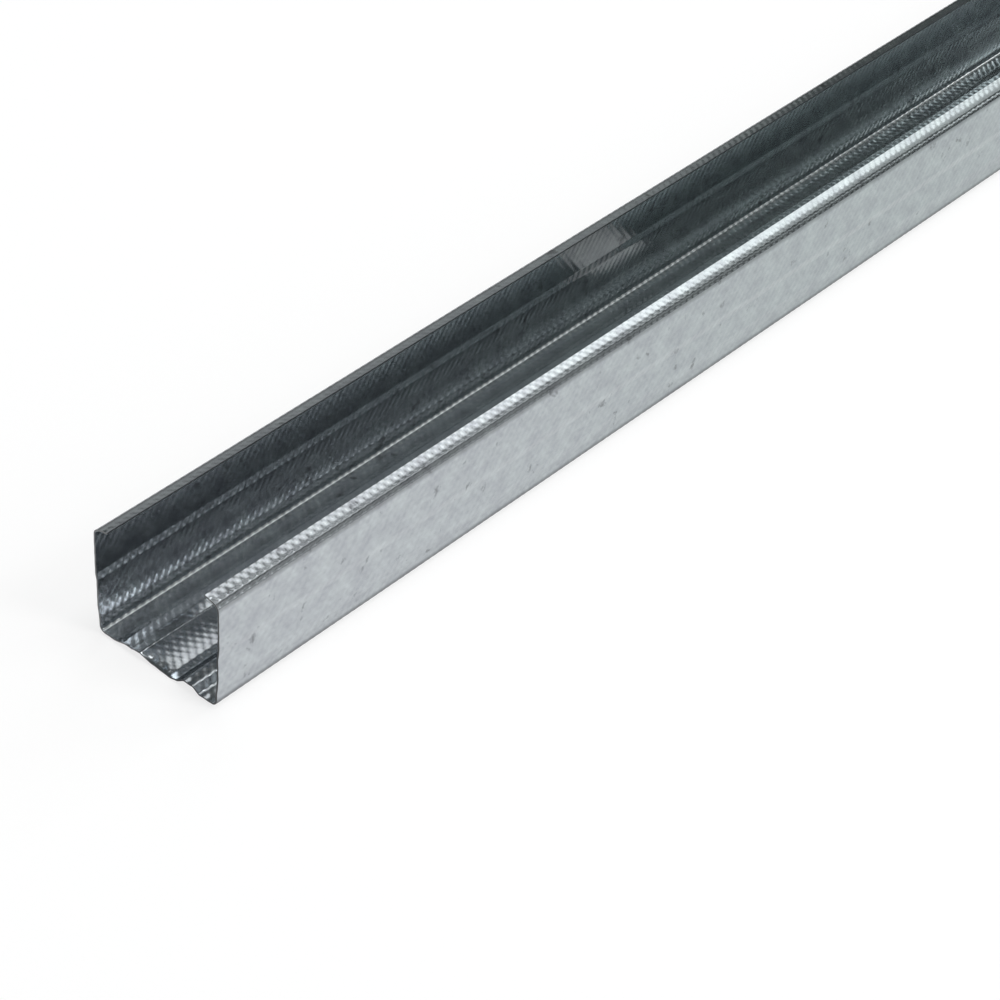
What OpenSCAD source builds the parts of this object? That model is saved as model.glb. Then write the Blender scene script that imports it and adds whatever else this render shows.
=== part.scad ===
// Drywall metal stud: one strip of galvanised steel sheet, punched with a row of
// service holes and roll formed into a lipped channel. The web lies on the floor
// and carries two raised ribs, each flange steps outward twice on its way up, and
// the lips turn in at the top.
//
// +X runs along the stud, +Y across it, +Z up. Zero is the middle of the length
// and of the width, on the underside of the web.

/* [Stock] */
// Length of the stud as it is sold
stud_length = 2440; // [600:1:6000]
// Thickness of the steel sheet
sheet_t = 0.5; // [0.35:0.05:0.9]

/* [Section] */
// Width over the web, outside to outside, at the bottom corners
web_width = 41.3; // [40:0.1:102]
// Height from the underside of the web to the top of the lips
flange_height = 33; // [31:0.1:51]
// Reach of each lip, from the outside of the flange to its free edge
lip_reach = 4.8; // [4:0.1:8]
// Inside radius of the four main bends
bend_radius = 1.3; // [0.8:0.1:1.6]

/* [Web ribs] */
// Distance between the middles of the two ribs
rib_spacing = 21; // [19:0.1:23]
// Width of a rib where it leaves the web
rib_base = 7.8; // [6.5:0.1:8.5]
// Width of the flat on top of a rib
rib_top = 3.2; // [2.5:0.1:4]
// How far a rib is pressed up out of the web
rib_rise = 1.35; // [0.6:0.05:1.6]

/* [Flange steps] */
// Height at which the lower step starts
low_step_start = 3.9; // [3:0.1:5]
// Height the lower step takes up
low_step_height = 4.4; // [3.5:0.1:6]
// How far the lower step moves the flange outward
low_step_out = 0.5; // [0.2:0.05:0.7]
// Height at which the upper step starts
high_step_start = 15.9; // [14:0.1:18]
// Height the upper step takes up
high_step_height = 2.4; // [2:0.1:4]
// How far the upper step moves the flange outward
high_step_out = 0.4; // [0.2:0.05:0.6]

/* [Service holes] */
// Length of a hole, along the stud
hole_length = 24; // [16:0.5:60]
// Width of a hole, across the web
hole_width = 20; // [14:0.5:26]
// Radius of a hole's corners
hole_corner = 4; // [2:0.5:6]
// Distance from the middle of one hole to the next
hole_spacing = 500; // [200:10:1000]
// Least length of plain stud left between an end and the middle of a hole
hole_margin = 200; // [100:10:290]

/* [Folds] */
// Inside radius of the small folds of ribs and steps
fold_radius = 0.6; // [0.4:0.1:0.8]
// Flat pieces that make up a right-angled bend
bend_steps = 8; // [4:1:16]

/* [Hidden] */

// the path of the strip is its middle surface, half a sheet inside each face
half_t = sheet_t / 2;
bend_mid = bend_radius + half_t;
fold_mid = fold_radius + half_t;

// heights of the path
web_z = half_t;
rib_z = web_z + rib_rise;
low_step_end = low_step_start + low_step_height;
high_step_end = high_step_start + high_step_height;
lip_z = flange_height - half_t;

// distances of the path from the middle of the stud
rib_mid_y = rib_spacing / 2;
rib_foot_in = rib_mid_y - rib_base / 2;
rib_foot_out = rib_mid_y + rib_base / 2;
rib_crest_in = rib_mid_y - rib_top / 2;
rib_crest_out = rib_mid_y + rib_top / 2;
foot_y = web_width / 2 - half_t;
waist_y = foot_y + low_step_out;
shoulder_y = waist_y + high_step_out;
lip_edge_y = shoulder_y + half_t - lip_reach;

// corners of half the path, from the web outward: [y, z, radius of the path]
half_path = [
    [rib_foot_in, web_z, fold_mid],
    [rib_crest_in, rib_z, fold_mid],
    [rib_crest_out, rib_z, fold_mid],
    [rib_foot_out, web_z, fold_mid],
    [foot_y, web_z, bend_mid],
    [foot_y, low_step_start, fold_mid],
    [waist_y, low_step_end, fold_mid],
    [waist_y, high_step_start, fold_mid],
    [shoulder_y, high_step_end, fold_mid],
    [shoulder_y, lip_z, bend_mid],
    [lip_edge_y, lip_z, 0]
];

// the whole path runs from one lip over the web to the other lip
last_corner = len(half_path) - 1;
path = concat(
    [for (i = [last_corner:-1:0]) [-half_path[i][0], half_path[i][1], half_path[i][2]]],
    half_path
);

function flat(p) = [p[0], p[1]];
function unit(v) = v / norm(v);
// the direction square to v, on its left
function left_of(v) = [-v[1], v[0]];
function cross_z(a, b) = a[0] * b[1] - a[1] * b[0];
function turned(v, a) = [v[0] * cos(a) - v[1] * sin(a), v[0] * sin(a) + v[1] * cos(a)];

// directions in and out of corner i, and the angle between them (left is plus)
function way_in(i) = unit(flat(path[i]) - flat(path[i - 1]));
function way_out(i) = unit(flat(path[i + 1]) - flat(path[i]));
function bend_angle(i) = atan2(cross_z(way_in(i), way_out(i)), way_in(i) * way_out(i));

// length of straight path a bend takes up on each side of its corner
function bend_run(i) = path[i][2] * tan(abs(bend_angle(i)) / 2);
function bend_side(i) = sign(bend_angle(i));
function bend_centre(i) =
    flat(path[i]) - way_in(i) * bend_run(i) + left_of(way_in(i)) * bend_side(i) * path[i][2];
function bend_count(i) = max(2, ceil(bend_steps * abs(bend_angle(i)) / 90));

// points of one face through bend i, where side is +1 for the left face and -1
// for the right: an arc about the same centre, half a sheet inside or outside
// the path
function face_arc(i, side) = [
    for (k = [0:bend_count(i)])
        bend_centre(i) - turned(left_of(way_in(i)), bend_angle(i) * k / bend_count(i))
        * (bend_side(i) * path[i][2] - side * half_t)
];

// one whole face of the strip, lip edge to lip edge
last = len(path) - 1;
function face(side) = concat(
    [flat(path[0]) + left_of(way_out(0)) * side * half_t],
    [for (i = [1:last - 1]) each face_arc(i, side)],
    [flat(path[last]) + left_of(way_in(last)) * side * half_t]
);
function reversed(list) = [for (i = [len(list) - 1:-1:0]) list[i]];

// places of the holes along the stud, in equal steps about its middle
hole_steps = floor((stud_length - 2 * hole_margin) / hole_spacing);
hole_x = [for (i = [0:hole_steps]) (i - hole_steps / 2) * hole_spacing];
// the punch reaches above and below the web, past the ribs
punch_height = 2 * (rib_z + sheet_t);

// The section of the sheet, one even thickness from lip to lip.
module section() {
    polygon(concat(face(1), reversed(face(-1))));
}

// The whole length of the rolled strip, before it is punched.
module rolled_strip() {
    rotate([90, 0, 90])
        linear_extrude(height = stud_length, center = true)
            section();
}

// One service hole: a rectangle with rounded corners, where cables pass the web.
module service_hole() {
    side_x = hole_length / 2 - hole_corner;
    side_y = hole_width / 2 - hole_corner;
    linear_extrude(height = 2 * punch_height, center = true) {
        square([hole_length, 2 * side_y], center = true);
        square([2 * side_x, hole_width], center = true);
        for (x = [-side_x, side_x], y = [-side_y, side_y])
            translate([x, y])
                circle(r = hole_corner, $fn = 32);
    }
}

// The stud itself: the rolled strip with its holes.
module stud() {
    color("silver")
        difference() {
            rolled_strip();
            for (x = hole_x)
                translate([x, 0, 0])
                    service_hole();
        }
}

stud();
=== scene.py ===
# %% [markdown]
# # A drywall metal stud
#
# A drywall stud is one strip of thin galvanised steel. Rollers first press a fine pattern of dimples
# into the whole strip, which makes the thin sheet stiffer, and then fold it step by step into a
# channel with two lips. This lesson rebuilds that order: a section, a relief of dimples laid over it,
# the punched service holes, and at last the zinc finish, the floor, the lamps and the camera.
#
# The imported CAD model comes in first. It is the frame that every later piece has to fit, so its box
# is kept before anything is added.

import bpy
import numpy as np
from mathutils import Matrix, Vector


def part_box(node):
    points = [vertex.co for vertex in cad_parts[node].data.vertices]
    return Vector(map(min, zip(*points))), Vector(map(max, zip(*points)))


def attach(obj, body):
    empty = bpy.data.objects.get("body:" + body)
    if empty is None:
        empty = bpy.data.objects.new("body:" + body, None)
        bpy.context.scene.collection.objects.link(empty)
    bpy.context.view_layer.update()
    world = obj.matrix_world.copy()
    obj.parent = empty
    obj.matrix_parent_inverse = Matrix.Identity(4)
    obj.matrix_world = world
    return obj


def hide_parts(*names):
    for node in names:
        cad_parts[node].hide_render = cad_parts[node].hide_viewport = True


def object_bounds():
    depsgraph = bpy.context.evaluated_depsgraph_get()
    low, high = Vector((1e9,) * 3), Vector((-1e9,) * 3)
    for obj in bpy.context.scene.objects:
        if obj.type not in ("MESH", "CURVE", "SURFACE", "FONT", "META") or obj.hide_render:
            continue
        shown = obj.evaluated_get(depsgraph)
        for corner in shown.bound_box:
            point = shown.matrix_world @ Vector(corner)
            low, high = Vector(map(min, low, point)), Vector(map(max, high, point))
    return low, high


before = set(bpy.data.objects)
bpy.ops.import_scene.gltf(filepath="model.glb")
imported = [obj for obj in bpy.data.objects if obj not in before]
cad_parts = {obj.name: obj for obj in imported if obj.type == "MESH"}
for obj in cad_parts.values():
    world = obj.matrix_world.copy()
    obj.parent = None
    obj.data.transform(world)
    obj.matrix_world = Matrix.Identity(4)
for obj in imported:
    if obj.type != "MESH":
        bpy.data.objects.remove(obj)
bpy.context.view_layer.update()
stud_low, stud_high = (np.array(corner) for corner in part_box("stud"))
MM = 0.001
print("CAD box in mm:", np.round((stud_high - stud_low) / MM, 2))

# %% [markdown]
# ## The section of the strip
#
# Seen from its end, the stud is a thin line with bends: lip, flange with two small outward steps, web
# with two raised ribs, and the same again on the other side. The line could be drawn as a Blender
# curve with a bevel, but then there would be no say in where its points lie, and the dimples need
# that. So the section is kept as a list of corners with a bend radius each. The overall sizes are read
# from the frame, and the small ones are the same as in the CAD model.

# %% Corners of the section
SHEET = 0.5 * MM
BEND_RADIUS = 1.3 * MM + SHEET / 2
FOLD_RADIUS = 0.6 * MM + SHEET / 2
WEB_WIDTH = 41.3 * MM
LIP_REACH = 4.8 * MM
RIB_SPACING, RIB_BASE, RIB_TOP, RIB_RISE = 21.0 * MM, 7.8 * MM, 3.2 * MM, 1.35 * MM
LOW_STEP = (3.9 * MM, 4.4 * MM, 0.5 * MM)  # height it starts at, height it takes, step outward
HIGH_STEP = (15.9 * MM, 2.4 * MM, 0.4 * MM)

middle_z = stud_low[2] + SHEET / 2
lip_z = stud_high[2] - SHEET / 2
foot_y = (WEB_WIDTH - SHEET) / 2
waist_y = foot_y + LOW_STEP[2]
shoulder_y = waist_y + HIGH_STEP[2]
lip_edge_y = stud_high[1] - LIP_REACH
rib_in, rib_out = RIB_SPACING / 2 - RIB_BASE / 2, RIB_SPACING / 2 + RIB_BASE / 2
crest_in, crest_out = RIB_SPACING / 2 - RIB_TOP / 2, RIB_SPACING / 2 + RIB_TOP / 2
half_section = np.array([
    (rib_in, middle_z, FOLD_RADIUS),
    (crest_in, middle_z + RIB_RISE, FOLD_RADIUS),
    (crest_out, middle_z + RIB_RISE, FOLD_RADIUS),
    (rib_out, middle_z, FOLD_RADIUS),
    (foot_y, middle_z, BEND_RADIUS),
    (foot_y, LOW_STEP[0], FOLD_RADIUS),
    (waist_y, LOW_STEP[0] + LOW_STEP[1], FOLD_RADIUS),
    (waist_y, HIGH_STEP[0], FOLD_RADIUS),
    (shoulder_y, HIGH_STEP[0] + HIGH_STEP[1], FOLD_RADIUS),
    (shoulder_y, lip_z, BEND_RADIUS),
    (lip_edge_y, lip_z, 0.0),
])
corners = np.concatenate([half_section[::-1] * (-1, 1, 1), half_section])
print("corners of the section:", len(corners))

# %% [markdown]
# Rollers can't fold a sharp corner, so every corner becomes an arc. A Bevel modifier could round the
# corners too, but a formula for the place and the direction at any distance along the section gives the
# dimples, the holes and the zinc one ruler to share: the distance across the flat strip.


# %% The path through the corners
def rounded_path(points):
    """Stretches of a line through points (y, z, radius), as rows (start distance, y, z, heading, bend).

    Each corner is replaced by an arc that leaves the straight lines radius * tan(half the turn)
    before the corner, so a bend is 1 / radius on an arc and 0 on a straight line.
    """
    rows, distance = [], 0.0
    place, step = points[0, :2], np.diff(points[:, :2], axis=0)
    headings = np.arctan2(step[:, 1], step[:, 0])
    for i, (y, z, radius) in enumerate(points[1:], start=1):
        here = headings[i - 1]
        turn = 0.0 if i == len(points) - 1 else headings[i] - here
        turn = (turn + np.pi) % (2 * np.pi) - np.pi
        run = radius * np.tan(abs(turn) / 2)
        along = np.array([np.cos(here), np.sin(here)])
        arc_start = np.array([y, z]) - along * run
        rows.append((distance, *place, here, 0.0))
        distance += np.linalg.norm(arc_start - place)
        if turn:
            bend = np.sign(turn) / radius
            rows.append((distance, *arc_start, here, bend))
            distance += radius * abs(turn)
            there = here + turn
            place = np.array([y, z]) + np.array([np.cos(there), np.sin(there)]) * run
    return np.array(rows), distance


stretches, STRIP_WIDTH = rounded_path(corners)


def path_at(across):
    """Place (y, z) and inward normal (y, z) at a distance along the section, for a whole array.

    On a straight stretch the place moves along its heading. On an arc it is the start plus
    (sin(heading) - sin(start), cos(start) - cos(heading)) / bend.
    """
    row = stretches[np.searchsorted(stretches[1:, 0], across, side="right")]
    s = across - row[..., 0]
    start, bend = row[..., 3], row[..., 4]
    heading = start + bend * s
    safe = np.where(bend == 0, 1.0, bend)
    dy = np.where(bend == 0, s * np.cos(start), (np.sin(heading) - np.sin(start)) / safe)
    dz = np.where(bend == 0, s * np.sin(start), (np.cos(start) - np.cos(heading)) / safe)
    return row[..., 1] + dy, row[..., 2] + dz, -np.sin(heading), np.cos(heading)


print("strip width before rolling, mm:", round(STRIP_WIDTH / MM, 1))

# %% [markdown]
# ## The relief of the sheet
#
# The dimples are pressed by rollers whose teeth mesh, so every second dimple goes up and every other
# goes down, like an egg box. That could be a bump texture, but a bump doesn't change the outline, and
# this stud is seen from near by. So the relief is real: a height for each point of the strip. The
# rollers also leave a long, faint waviness, which two slow sine waves are enough for.

# %% Dimples and waves
DIMPLE_PITCH = np.array([2.54, 3.4]) * MM  # along the stud, across the strip
DIMPLE_HEIGHT = 0.026 * MM
NEAR_END, FAR_END = stud_low[0], stud_high[0]
MIDDLE = STRIP_WIDTH / 2
DIMPLE_ROW = MIDDLE - 0.9 * MM
WAVE_HEIGHT = 0.03 * MM
LONG_WAVE, SHORT_WAVE = 41.0, 97.0  # radians per metre of the stud
WAVE_DRIFT = 5.0  # radians from one lip to the other


def dimples(x, across):
    """Egg box: DIMPLE_HEIGHT * cos(along) * cos(over), with a period for each dimple of one kind."""
    along = 2 * np.pi / DIMPLE_PITCH[0] * (x - NEAR_END)
    over = 2 * np.pi / DIMPLE_PITCH[1] * (across - DIMPLE_ROW)
    return DIMPLE_HEIGHT * np.cos(along) * np.cos(over)


def waviness(x, across):
    """A long and a short sine wave along the stud, which shift in opposite ways across the strip."""
    shift = across / STRIP_WIDTH * WAVE_DRIFT
    long_wave = np.sin(x * LONG_WAVE + shift)
    short_wave = np.sin(x * SHORT_WAVE - 2.0 * shift + 1.0)
    return WAVE_HEIGHT * (0.6 * long_wave + 0.4 * short_wave)


print("dimples across the strip:", int(STRIP_WIDTH / DIMPLE_PITCH[1]))

# %% [markdown]
# Thin steel springs back a little when it leaves the rollers. The four bends come out rounder than they
# are drawn, and the lips, which are bent last, spread open, so their free edges stand higher than the
# bends. The section could be drawn that way at once, but the CAD model has it square, and as a height
# it is a change that can be told from the drawing.

# %% Rounder bends and sprung lips
LIP_SPRING = 11.0  # degrees
EASE_HEIGHT, EASE_WIDTH = np.array([0.3, 0.12, 0.12, 0.3]) * MM, 1.26 * MM  # lip, web, web, lip
BEND_LENGTH = BEND_RADIUS * np.pi / 2
bend_starts = stretches[np.abs(stretches[:, 4]) == 1 / BEND_RADIUS, 0]


def bend_easing(across):
    """Inward rise that makes each bend rounder: height * exp(-(distance from its middle / width)^2)."""
    from_middle = across[..., None] - (bend_starts + BEND_LENGTH / 2)
    return (EASE_HEIGHT * np.exp(-((from_middle / EASE_WIDTH) ** 2))).sum(-1)


def lip_spring(across):
    """Outward rise of the lips, in a straight line from where the bend ends: -tan(angle) * distance."""
    lip_start = bend_starts[-1] + BEND_LENGTH - MIDDLE
    past_bend = np.maximum(np.abs(across - MIDDLE) - lip_start, 0)
    return -np.tan(np.radians(LIP_SPRING)) * past_bend


print("bends start across the strip at, mm:", np.round(bend_starts / MM, 2))

# %% [markdown]
# The shears that cut the strip to length push the web down at the near end. Its middle has a crumpled
# edge there, the back rib is pressed flatter, and the web beside that rib slopes up to it. It could be
# sculpted, but dents that fade with the distance from the cut are plain to read and easy to change.

# %% Marks of the shears
DENT_DEPTH, DENT_REACH, DENT_LENGTH = 0.55 * MM, 5.6 * MM, 1.1 * MM
DENT_MIDDLE = -0.4 * MM
PRESSED_SHARE, PRESSED_LENGTH = 0.45, 8.0 * MM
SLOPE_FOOT, SLOPE_LENGTH = -4.0 * MM, 30.0 * MM
CRUMPLE_HEIGHT, CRUMPLE_LENGTH, CRUMPLE_MARGIN = 0.08 * MM, 1.3 * MM, 2.0 * MM
CRUMPLE_TURN = 1.9  # radians per mm across the web


def shear_mark(x, across):
    """Sum of the dents at the near end: each is a height that fades away from the cut edge."""
    y = path_at(across)[0]
    from_cut = x - NEAR_END
    dent = -DENT_DEPTH * np.exp(-(((y - DENT_MIDDLE) / DENT_REACH) ** 6)) * np.exp(-from_cut / DENT_LENGTH)
    rib = np.interp(np.abs(y - RIB_SPACING / 2), [RIB_TOP / 2, RIB_BASE / 2], [1.0, 0.0])
    pressed = -PRESSED_SHARE * RIB_RISE * rib * np.exp(-from_cut / PRESSED_LENGTH)
    beside = np.clip((y - SLOPE_FOOT) / (crest_in - SLOPE_FOOT), 0, 1) - rib
    eased = RIB_RISE * np.where(y < RIB_SPACING / 2, beside, 0.0) / (1 + (from_cut / SLOPE_LENGTH) ** 4)
    on_web = np.abs(y) < foot_y - CRUMPLE_MARGIN
    crumple = CRUMPLE_HEIGHT * np.sin(y / MM * CRUMPLE_TURN) * np.exp(-from_cut / CRUMPLE_LENGTH) * on_web
    return dent + pressed + eased + crumple


end_across = np.linspace(0, STRIP_WIDTH, 400)
print("deepest shear mark, mm:", round(shear_mark(NEAR_END, end_across).min() / MM, 2))

# %% [markdown]
# The height is added to both faces alike, because it is the sheet that is bent and not its thickness. The
# normals could be left to Blender, which averages them from the faces, but they are worked out from the
# same surface here, so that the light meets each dimple's true slope even where the grid is coarse.


# %% Both faces of the sheet
def sheet_surface(x, across, side):
    """Points of one face: the path plus its normal times (relief + side * half the sheet)."""
    y, z, ny, nz = path_at(across)
    height = dimples(x, across) + waviness(x, across) + shear_mark(x, across)
    height += bend_easing(across) + lip_spring(across) + side * SHEET / 2
    return np.stack([x, y + ny * height, z + nz * height], axis=-1)


def sheet_normal(x, across, side):
    """Unit normal of a face, out of the steel: the cross product of its slopes along and across."""
    tiny = 0.02 * MM
    along = sheet_surface(x + tiny, across, side) - sheet_surface(x - tiny, across, side)
    width = np.clip(across + tiny, 0, STRIP_WIDTH), np.clip(across - tiny, 0, STRIP_WIDTH)
    over = sheet_surface(x, width[0], side) - sheet_surface(x, width[1], side)
    normal = np.cross(along, over) * side
    return normal / np.linalg.norm(normal, axis=-1, keepdims=True)


inner_lip = sheet_surface(np.zeros(1), np.zeros(1), 1)[0]
print("inner edge of a lip, y and z in mm:", np.round(inner_lip[1:] / MM, 2))

# %% [markdown]
# ## Holes in a grid
#
# Cables pass through service holes that are punched in the web. A Boolean modifier could cut them, but
# on a mesh this fine it is slow and leaves long thin faces. Here the grid itself is cut: cells that
# lie in a hole are dropped, and the points left on the rim slide to the nearest point of the hole's
# outline, so that the rim is clean and the cells beside it stay close to square.

# %% Outline of a service hole
HOLE_SIZE, HOLE_CORNER, HOLE_SPACING = np.array([24.0, 20.0]) * MM, 4.0 * MM, 500.0 * MM
HOLE_COUNT = 5
hole_x = (np.arange(HOLE_COUNT) - HOLE_COUNT // 2) * HOLE_SPACING


def hole_distance(x, y):
    """Signed distance to the nearest hole's outline, and the way to it: a box with rounded corners."""
    nearest = hole_x[np.abs(x[..., None] - hole_x).argmin(-1)]
    place = np.stack([x - nearest, y], axis=-1)
    reach = np.abs(place) - (HOLE_SIZE / 2 - HOLE_CORNER)
    outside = np.maximum(reach, 0)
    far = np.linalg.norm(outside, axis=-1)
    distance = far + np.minimum(reach.max(-1), 0) - HOLE_CORNER
    flat_way = (reach == reach.max(-1, keepdims=True)).astype(float)
    tiny = 1e-9
    way = np.where(far[..., None] > tiny, outside / np.maximum(far, tiny)[..., None], flat_way)
    return distance, way * np.sign(place)


print("service holes at x, mm:", np.round(hole_x / MM))

# %% Cut the grid
LOST_DEPTH = 0.4  # of a cell
web_across = np.linspace(0, STRIP_WIDTH, 4001)
web_across = web_across[np.abs(web_across - MIDDLE) < RIB_SPACING]
web_y = path_at(web_across)[0]


def cut_grid(columns, rows):
    """A grid of (x, across) with the holes cut out, and which of its cells are kept.

    A cell goes when one of its points lies deeper in a hole than LOST_DEPTH. The points between the
    lost and the kept cells then move to the outline.
    """
    x, across = np.meshgrid(columns, rows)
    y = path_at(across)[0]
    cell = np.diff(columns).max()
    distance, way = hole_distance(x, y)
    inside = (distance < -LOST_DEPTH * cell) & (np.abs(across - MIDDLE) < RIB_SPACING)
    lost = inside[:-1, :-1] | inside[1:, :-1] | inside[:-1, 1:] | inside[1:, 1:]
    beside = np.zeros((2, *x.shape), bool)
    for touches, cells in zip(beside, (lost, ~lost)):
        touches[:-1, :-1] |= cells
        touches[1:, :-1] |= cells
        touches[:-1, 1:] |= cells
        touches[1:, 1:] |= cells
    rim = beside[0] & beside[1]
    x[rim] -= (distance * way[..., 0])[rim]
    y[rim] -= (distance * way[..., 1])[rim]
    across[rim] = np.interp(y[rim], web_y, web_across)
    return x, across, ~lost


print("points that look up the web:", len(web_across))

# %% [markdown]
# ## A closed piece of sheet
#
# Each piece is a real sheet with two faces and edges all round. A Solidify modifier could thicken one
# face, but both faces come from the same formula here, so the sheet is 0.5 mm thick everywhere. A wall
# joins them along every edge that only one cell has: at the cuts, along the lips and round the holes.


# %% Make a piece of sheet
def flat_piece(columns, rows):
    """Flat coordinates of the points in use, the quads between them, and the edges of one quad only."""
    x, across, kept = cut_grid(columns, rows)
    corner = np.arange(x.size).reshape(x.shape)
    cells = np.stack([corner[:-1, :-1], corner[:-1, 1:], corner[1:, 1:], corner[1:, :-1]], -1)[kept]
    edges = np.stack([cells, np.roll(cells, -1, axis=1)], -1).reshape(-1, 2)
    key, back = edges @ (x.size, 1), edges @ (1, x.size)
    rim = edges[~np.isin(key, back)]
    used = np.unique(cells)
    number = np.zeros(x.size, int)
    number[used] = np.arange(len(used))
    return x.ravel()[used], across.ravel()[used], number[cells], number[rim]


def sheet_piece(name, columns, rows):
    """A closed piece of sheet between two cuts across the stud: both faces and the edges all round."""
    x, across, cells, rim = flat_piece(columns, rows)
    count = len(x)
    points = np.concatenate([sheet_surface(x, across, side) for side in (1, -1)])
    walls = np.stack([rim[:, 1], rim[:, 0], rim[:, 0] + count, rim[:, 1] + count], -1)
    quads = np.concatenate([cells, cells[:, ::-1] + count, walls])
    mesh = bpy.data.meshes.new(name)
    mesh.from_pydata(points, [], quads)
    normals = np.concatenate([sheet_normal(x, across, side) for side in (1, -1)])[quads]
    ends = points[walls]
    flat = np.cross(ends[:, 2] - ends[:, 0], ends[:, 3] - ends[:, 1])
    flat /= np.linalg.norm(flat, axis=-1, keepdims=True)
    normals[-len(walls):] = flat[:, None]
    mesh.polygons.foreach_set("use_smooth", np.ones(len(quads), bool))
    mesh.normals_split_custom_set(normals.reshape(-1, 3))

    spread = np.tile(np.stack([x, across], -1), (2, 1))[quads].reshape(-1, 2)
    mesh.uv_layers.new(name="sheet").data.foreach_set("uv", spread.astype(np.float32).ravel())
    face = np.arange(len(quads))
    for attribute, faces in (("cut_edge", face >= 2 * len(cells)), ("inner_face", face < len(cells))):
        mesh.attributes.new(attribute, "FLOAT", "FACE").data.foreach_set("value", faces)
    piece = bpy.data.objects.new(name, mesh)
    bpy.context.scene.collection.objects.link(piece)
    print(name, "triangles:", 2 * len(quads), "x mm:", np.round(columns[[0, -1]] / MM, 1))
    return piece


# %% [markdown]
# ## How fine the grid has to be
#
# A piece is kept under 200,000 triangles, so the strip is made in lengths that meet face to face.
# The first 380 mm are what a close view shows, and get four points along each dimple and six across it.
# The rest of the stock is only ever seen whole, and gets two, placed on the slopes of the dimples rather
# than on their tops, because it is the slopes that catch the light.

# %% Rows and columns of the grid
FINE_ALONG, FINE_ACROSS, COARSE = 4, 6, 2
CLOSE_PERIODS, CLOSE_PIECES, FAR_PIECES = 50, 3, 3
FINE_BEND_POINTS, COARSE_BEND_POINTS = 6, 4
ON_SLOPES = 0.25  # of a step past the top of a dimple
BEND_MARGIN, EDGE_MARGIN = 0.45, 0.3  # of a step, kept clear beside the bends' points and the edges


def rows_of(per_dimple, shift, bend_points):
    """Distances across the strip: an even lattice, both lip edges, and extra points in the four bends."""
    step = DIMPLE_PITCH[1] / per_dimple
    reach = np.ceil(MIDDLE / step) + 1
    lattice = DIMPLE_ROW + (np.arange(-reach, reach + 1) + shift) * step
    in_bend = np.linspace(0, BEND_LENGTH, bend_points)
    bends = (bend_starts[:, None] + in_bend).ravel()
    clear = np.abs(lattice[:, None] - bends).min(1) > BEND_MARGIN * (in_bend[1] - in_bend[0])
    margin = EDGE_MARGIN * step
    lattice = lattice[clear & (lattice > margin) & (lattice < STRIP_WIDTH - margin)]
    inner = (bend_starts[:, None] < lattice) & (lattice < bend_starts[:, None] + in_bend[-1])
    return np.sort(np.concatenate([[0, STRIP_WIDTH], lattice[~inner.any(0)], bends]))


fine_rows = rows_of(FINE_ACROSS, 0.0, FINE_BEND_POINTS)
coarse_rows = rows_of(COARSE, ON_SLOPES, COARSE_BEND_POINTS)
seam_x = NEAR_END + (np.arange(CLOSE_PIECES + 1) * CLOSE_PERIODS) * DIMPLE_PITCH[0]
print("rows, fine and coarse:", len(fine_rows), len(coarse_rows))

# %% Make the strip
pieces = []
for i in range(CLOSE_PIECES):
    columns = np.linspace(seam_x[i], seam_x[i + 1], CLOSE_PERIODS * FINE_ALONG + 1)
    pieces.append(sheet_piece(f"stud_close_{i + 1}", columns, fine_rows))

coarse_step = DIMPLE_PITCH[0] / COARSE
far_start = seam_x[-1] + (1 + ON_SLOPES) * coarse_step
far_lattice = np.arange(far_start, FAR_END - EDGE_MARGIN * coarse_step, coarse_step)
far_columns = np.concatenate([[seam_x[-1]], far_lattice, [FAR_END]])
cuts = np.linspace(0, len(far_columns) - 1, FAR_PIECES + 1).astype(int)
for i in range(FAR_PIECES):
    columns = far_columns[cuts[i]:cuts[i + 1] + 1]
    pieces.append(sheet_piece(f"stud_far_{i + 1}", columns, coarse_rows))

for piece in pieces:
    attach(piece, "root")
    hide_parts("stud")

# %% [markdown]
# ## The zinc finish
#
# Hot dip galvanised steel is a metal with a thin skin of zinc crystals. It mirrors the room softly, a
# little bluer than plain steel, with cloudy patches, small dull marks and faint strokes from the
# rollers. Along its length it goes slowly from one grey to another. The lightest grey is set at the near
# end, where it is painted light that stands for the brighter light there. The dimples that stand up
# inside, which the rollers rub, are a shade lighter. These patterns could be painted in an image, but
# noise and cosine waves that read the sheet's own flat coordinates follow the bends as the real marks do,
# and stay sharp from near by.

# %% Helpers for the materials
zinc = bpy.data.materials.new("galvanised_steel")
zinc.use_nodes = True
nodes, links = zinc.node_tree.nodes, zinc.node_tree.links
nodes.clear()


def node(kind, **settings):
    """A new shader node in the tree that is being made, with its settings."""
    made = nodes.new(kind)
    for key, value in settings.items():
        setattr(made, key, value)
    return made


def feed(socket, value):
    """Link an output to an input, or set the input to a number or a colour."""
    if isinstance(value, bpy.types.NodeSocket):
        links.new(value, socket)
    else:
        socket.default_value = value


def calculate(operation, *values):
    """Arithmetic on numbers or outputs, such as MULTIPLY_ADD, which is first * second + third."""
    made = node("ShaderNodeMath", operation=operation)
    for socket, value in zip(made.inputs, values):
        feed(socket, value)
    return made.outputs["Value"]


def mix(kind, factor, a, b):
    """Two colours mixed in the way that kind says."""
    made = node("ShaderNodeMix", data_type="RGBA", blend_type=kind)
    feed(made.inputs["Factor"], factor)
    feed(made.inputs["A"], a)
    feed(made.inputs["B"], b)
    return made.outputs["Result"]


def grey(level):
    """A grey colour without its alpha."""
    return (level,) * 3


def ramp(value, *stops):
    """Colour that goes in straight lines through stops of (position, colour)."""
    made = node("ShaderNodeValToRGB")
    elements = made.color_ramp.elements
    for end, (position, colour) in ((0, stops[0]), (1, stops[-1])):
        elements[end].position, elements[end].color = position, (*colour, 1)
    for position, colour in stops[1:-1]:
        elements.new(position).color = (*colour, 1)
    links.new(value, made.inputs["Fac"])
    return made.outputs["Color"]


print("material:", zinc.name)

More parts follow.
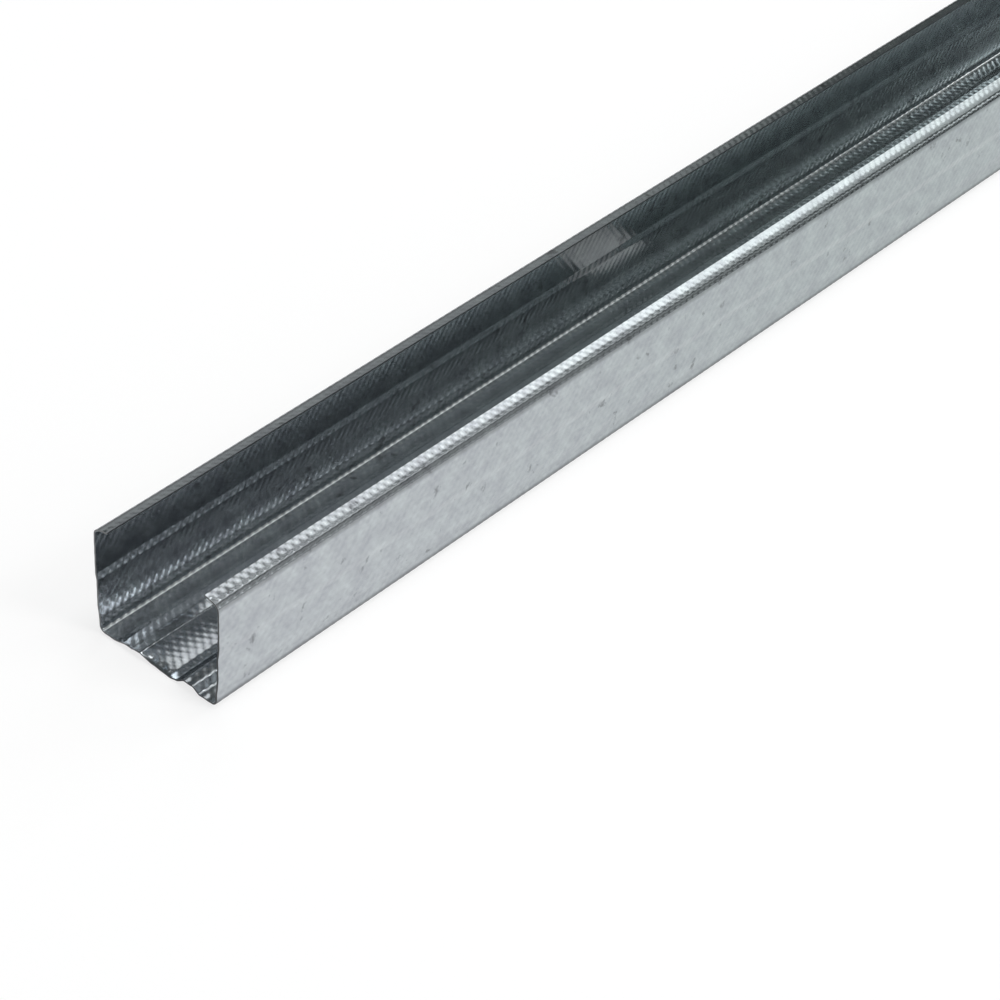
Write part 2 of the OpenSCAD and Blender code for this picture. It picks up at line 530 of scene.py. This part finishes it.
# %% Zinc patterns
ZINC_DARK, ZINC_LIGHT = (0.385, 0.43, 0.44, 1), (0.47, 0.50, 0.525, 1)
BAND_SPACING = 0.62
flat_place = node("ShaderNodeUVMap", uv_map="sheet")
place = node("ShaderNodeSeparateXYZ")
links.new(flat_place.outputs["UV"], place.inputs["Vector"])


def noise(scale, stretch, detail, rough=0.5):
    """Noise on the sheet's flat coordinates: scale marks to a metre, times stretch each way."""
    mapping = node("ShaderNodeMapping")
    mapping.inputs["Scale"].default_value = (*stretch, 1)
    links.new(flat_place.outputs["UV"], mapping.inputs["Vector"])
    texture = node("ShaderNodeTexNoise", noise_dimensions="2D")
    texture.inputs["Scale"].default_value = scale
    texture.inputs["Detail"].default_value = detail
    texture.inputs["Roughness"].default_value = rough
    links.new(mapping.outputs["Vector"], texture.inputs["Vector"])
    return texture.outputs["Fac"]


def wave(distance, period, crest):
    """Cosine wave of a distance, with a crest at the given place."""
    turn = 2 * np.pi / period
    return calculate("COSINE", calculate("MULTIPLY_ADD", distance, turn, -crest * turn))


# The slow change of grey along the stud is partly painted light: its lightest grey sits at the near end, for
# the brighter light there.
length_tone_and_end_light = calculate("MULTIPLY_ADD", wave(place.outputs["X"], BAND_SPACING, NEAR_END), 0.5, 0.5)
zinc_colour = mix("MIX", length_tone_and_end_light, ZINC_DARK, ZINC_LIGHT)
along_wave = wave(place.outputs["X"], DIMPLE_PITCH[0], NEAR_END)
over_wave = wave(place.outputs["Y"], DIMPLE_PITCH[1], DIMPLE_ROW)
dimple_tone = calculate("MULTIPLY_ADD", calculate("MULTIPLY", along_wave, over_wave), 0.03, 0.99)
# Cloudy patches, then fine strokes of the rollers, then small dull marks.
clouds = ramp(noise(150, (1, 1.2), 5, 0.6), (0.3, (0.88, 0.87, 0.885)), (0.7, (1.07, 1.075, 1.06)))
strokes = ramp(noise(700, (0.6, 1.1), 3), (0.3, grey(0.94)), (0.65, grey(1.02)))
marks = ramp(noise(150, (1, 0.8), 5, 0.6), (0.27, grey(0.55)), (0.345, grey(1.0)))
for pattern in (clouds, strokes, marks, dimple_tone):
    zinc_colour = mix("MULTIPLY", 1.0, zinc_colour, pattern)
print("zinc nodes so far:", len(nodes))

# %% [markdown]
# The outsides of the bends are darker: it is painted shade, for the dark that the round bends mirror,
# and at the foot of the stud for the floor's shade beside it. Inside the two bends beside the web it
# is the other way round: a painted highlight makes a dotted row of bright dimples where the bends catch
# the light. Both could be painted by hand, but the distance from the middle of the strip says where the
# bends are, so colour ramps along it do it and follow the section when its sizes change. An attribute of
# the faces says which of them are on the inside.
#
# The edges left by the punch and the shears have no zinc at all: they are bare grey steel, rougher
# than the skin, and a second attribute says where they are.

# %% Bends and cut edges
# Painted shade on the outsides of the web and lip bends.
WEB_BEND_SHADE, LIP_BEND_SHADE = 0.62, 0.68
# The first colour here is a painted highlight for the inside of the web bends. Bare steel is the cuts' own
# colour.
PAINTED_HIGHLIGHT_ZINC, BARE_STEEL = (0.63, 0.665, 0.67, 1), (0.17, 0.175, 0.18, 1)
SMOOTH_ZINC, DULL_ZINC, BARE_ROUGHNESS = 0.15, 0.20, 0.25  # roughness, and what bare steel adds to it
from_middle = calculate("ABSOLUTE", calculate("MULTIPLY_ADD", place.outputs["Y"], 1 / MIDDLE, -1.0))
web_bend, lip_bend = bend_starts[bend_starts > MIDDLE] - MIDDLE
# Where the painted highlight's stripe lies inside the web bends, and how soft its sides are.
HIGHLIGHT_WIDTH, HIGHLIGHT_SHIFT, HIGHLIGHT_SOFT = 2.0 * MM, 0.2 * MM, 0.5 * MM
highlight_end = web_bend + BEND_LENGTH / 2 + HIGHLIGHT_SHIFT


def stripe(start, end, soft, level, around=1.0):
    """Colour ramp stops, by distance from the middle of the strip, for a stripe with soft sides."""
    places = (start - soft, around), (start, level), (end, level), (end + soft, around)
    return [(distance / MIDDLE, grey(value)) for distance, value in places]


# Painted shade: darker stripes on the outsides of the web and lip bends.
bend_painted_shade = ramp(from_middle, (0.0, grey(1.0)), *stripe(web_bend, web_bend + BEND_LENGTH, MM, WEB_BEND_SHADE),
            *stripe(lip_bend, lip_bend + BEND_LENGTH, MM, LIP_BEND_SHADE))
# Painted highlight: a bright stripe inside the web bends, dotted along the dimples.
highlight_stripe = ramp(from_middle, *stripe(highlight_end - HIGHLIGHT_WIDTH, highlight_end, HIGHLIGHT_SOFT, 1.0, around=0.0))
painted_highlight = calculate("MULTIPLY", highlight_stripe, calculate("MULTIPLY_ADD", along_wave, 0.4, 0.6))
inside = node("ShaderNodeAttribute", attribute_name="inner_face").outputs["Fac"]
outside_colour = mix("MULTIPLY", 1.0, zinc_colour, bend_painted_shade)
inside_colour = mix("MIX", painted_highlight, zinc_colour, PAINTED_HIGHLIGHT_ZINC)
skin_colour = mix("MIX", inside, outside_colour, inside_colour)
skin_rough = ramp(noise(200, (1, 1), 4), (0.3, grey(SMOOTH_ZINC)), (0.7, grey(DULL_ZINC)))
bare = node("ShaderNodeAttribute", attribute_name="cut_edge").outputs["Fac"]

shader = node("ShaderNodeBsdfPrincipled")
feed(shader.inputs["Metallic"], 1.0)
feed(shader.inputs["Base Color"], mix("MIX", bare, skin_colour, BARE_STEEL))
feed(shader.inputs["Roughness"], calculate("MULTIPLY_ADD", bare, BARE_ROUGHNESS, skin_rough))
output = node("ShaderNodeOutputMaterial")
links.new(shader.outputs["BSDF"], output.inputs["Surface"])
for piece in pieces:
    piece.data.materials.append(zinc)
print("zinc nodes:", len(nodes))

# %% [markdown]
# ## Floor, lamps and camera
#
# The stud lies on a sheet of white paper. A curved backdrop would hide the horizon, but one flat square
# is enough here, because the camera looks down on it and it reaches far past what the camera sees. Its
# height is that of the lowest point of the finished strip, whose sheared end hangs down a little.

# %% Floor
FLOOR_SIZE = 40.0
floor_z = float(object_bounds()[0][2])
half = FLOOR_SIZE / 2
floor_mesh = bpy.data.meshes.new("floor")
floor_mesh.from_pydata(
    [(-half, -half, floor_z), (half, -half, floor_z), (half, half, floor_z), (-half, half, floor_z)],
    [], [(0, 1, 2, 3)])
floor = bpy.data.objects.new("floor", floor_mesh)
bpy.context.scene.collection.objects.link(floor)
print("floor at z, mm:", round(floor_z / MM, 2))

# %% [markdown]
# Zinc has hardly any colour of its own: its pale outer side mirrors the white floor, and its dark inside
# mirrors a dim room. Brighter lamps could make the floor white, but a floor that shines only for the
# camera and for mirrors leaves the light on the stud as it is, and keeps the stud's shadow. The shade of
# the stud on the floor is mirrored too, so the glow that the zinc sees is turned down beneath it.

# %% Glow of the floor
FLOOR_GLOW, FLOOR_GREY = 0.77, 0.28
SHADE_SPAN = 60.0 * MM
# Places across the stud in mm, and the share of the glow that the zinc sees there.
SHADE_STOPS = (-23.5, 1.0), (-21.5, 0.6), (-10.0, 0.1), (10.0, 0.4), (21.5, 0.6), (23.5, 1.0)
paper = bpy.data.materials.new("white_floor")
paper.use_nodes = True
nodes, links = paper.node_tree.nodes, paper.node_tree.links
nodes.clear()
diffuse = node("ShaderNodeBsdfDiffuse")
feed(diffuse.inputs["Color"], (*grey(FLOOR_GREY), 1))
ray = node("ShaderNodeLightPath").outputs
spot = node("ShaderNodeSeparateXYZ")
links.new(node("ShaderNodeTexCoord").outputs["Object"], spot.inputs["Vector"])
side_way = calculate("MULTIPLY_ADD", spot.outputs["Y"], 1 / SHADE_SPAN, 0.5)
under = ramp(side_way, *[(0.5 + y * MM / SHADE_SPAN, grey(level)) for y, level in SHADE_STOPS])
mirrored = calculate("MULTIPLY", ray["Is Glossy Ray"], under)
seen = calculate("MAXIMUM", calculate("MAXIMUM", ray["Is Camera Ray"], ray["Is Transmission Ray"]), mirrored)
glow = node("ShaderNodeEmission")
feed(glow.inputs["Strength"], calculate("MULTIPLY", seen, FLOOR_GLOW))
both = node("ShaderNodeAddShader")
links.new(diffuse.outputs["BSDF"], both.inputs[0])
links.new(glow.outputs["Emission"], both.inputs[1])
output = node("ShaderNodeOutputMaterial")
links.new(both.outputs["Shader"], output.inputs["Surface"])
floor.data.materials.append(paper)
print("floor nodes:", len(nodes))

# %% [markdown]
# One big lamp overhead would be the simplest light, but then every part of the channel would shine
# alike. So the world is left dim, and soft lamps far away give the bright bands: each of them stands
# where a bend, a lip or a step mirrors it to the camera. The camera doesn't see the lamps themselves,
# and it sees the world as white, like the floor, while the zinc still mirrors the dim room.

# %% The dim room
DIM_ROOM, WHITE = (0.105, 0.114, 0.114, 1), (1, 1, 1, 1)
world = bpy.data.worlds.new("studio")
bpy.context.scene.world = world
world.use_nodes = True
nodes, links = world.node_tree.nodes, world.node_tree.links
nodes.clear()
sky = node("ShaderNodeBackground")
direct = node("ShaderNodeLightPath").outputs["Is Camera Ray"]
feed(sky.inputs["Color"], mix("MIX", direct, DIM_ROOM, WHITE))
output = node("ShaderNodeOutputWorld")
links.new(sky.outputs["Background"], output.inputs["Surface"])
print("world nodes:", len(nodes))

# %% Lamps
LAMP_DISTANCE = 6.0
lit_place = Vector((NEAR_END + 0.2, 0, 0))


def soft_lamp(name, azimuth, elevation, size, brightness):
    """A flat lamp that faces the stud's near end from afar; size in metres, brightness where 1 is white."""
    light = bpy.data.lights.new(name, "AREA")
    light.shape = "RECTANGLE"
    light.size, light.size_y = size
    light.energy = brightness * np.pi * size[0] * size[1]
    lamp = bpy.data.objects.new(name, light)
    bpy.context.scene.collection.objects.link(lamp)
    turn, lift = np.radians([azimuth, elevation])
    way = Vector((np.cos(turn) * np.cos(lift), np.sin(turn) * np.cos(lift), np.sin(lift)))
    lamp.location = lit_place + LAMP_DISTANCE * way
    lamp.rotation_euler = way.to_track_quat("Z", "Y").to_euler()
    lamp.visible_camera = False
    print("lamp", name, "at m:", [round(value, 2) for value in lamp.location])


soft_lamp("overhead", 335, 77, (2.9, 2.3), 6.3)
soft_lamp("front", 288, 38, (1.9, 5.2), 2.9)
soft_lamp("front_key", 290, 45, (1.5, 1.05), 7.0)
soft_lamp("back", 56, 17, (2.8, 1.6), 0.3)
soft_lamp("far_end", 345, 20, (3.2, 2.0), 4.0)
soft_lamp("far_fill", 14, 34, (3.5, 3.0), 0.9)
soft_lamp("lip_key", 26, 47, (2.3, 2.0), 1.25)
soft_lamp("far_high", 345, 55, (1.7, 2.0), 1.0)
soft_lamp("inside_fill", 312, 35, (3.2, 1.8), 0.35)
soft_lamp("front_low", 305, 13, (2.2, 2.0), 0.6)

# %% [markdown]
# The camera looks down along the stud from beside its near end, through a long lens, so that the cut
# end shows in front and the channel narrows only a little behind it. It could be aimed with a Track To
# constraint, but it is also rolled by a few degrees, so its three directions are worked out from a
# heading, a dip and a roll.

# %% Camera
LENS, SENSOR = 116.6, 36.0
CAMERA_BEHIND, CAMERA_Y, CAMERA_Z = 0.4149, -0.4381, 0.5329  # behind is measured from the near end
HEADING, DIP, ROLL = 51.23, 38.37, 3.53  # degrees: from +Y towards +X, below level, right side lifted
camera_data = bpy.data.cameras.new("camera")
camera_data.sensor_width, camera_data.lens = SENSOR, LENS
camera = bpy.data.objects.new("camera", camera_data)
bpy.context.scene.collection.objects.link(camera)
heading, dip, roll = np.radians([HEADING, DIP, ROLL])
forward = Vector((np.sin(heading) * np.cos(dip), np.cos(heading) * np.cos(dip), -np.sin(dip)))
level = forward.cross(Vector((0, 0, 1))).normalized()
upright = level.cross(forward)
right = level * np.cos(roll) + upright * np.sin(roll)
up = right.cross(forward)
aim = Matrix((right, up, -forward)).transposed().to_4x4()
camera.matrix_world = Matrix.Translation((NEAR_END - CAMERA_BEHIND, CAMERA_Y, CAMERA_Z)) @ aim
bpy.context.scene.camera = camera
bpy.context.scene.view_settings.view_transform = "Standard"
print("camera at m:", [round(value, 3) for value in camera.matrix_world.translation])
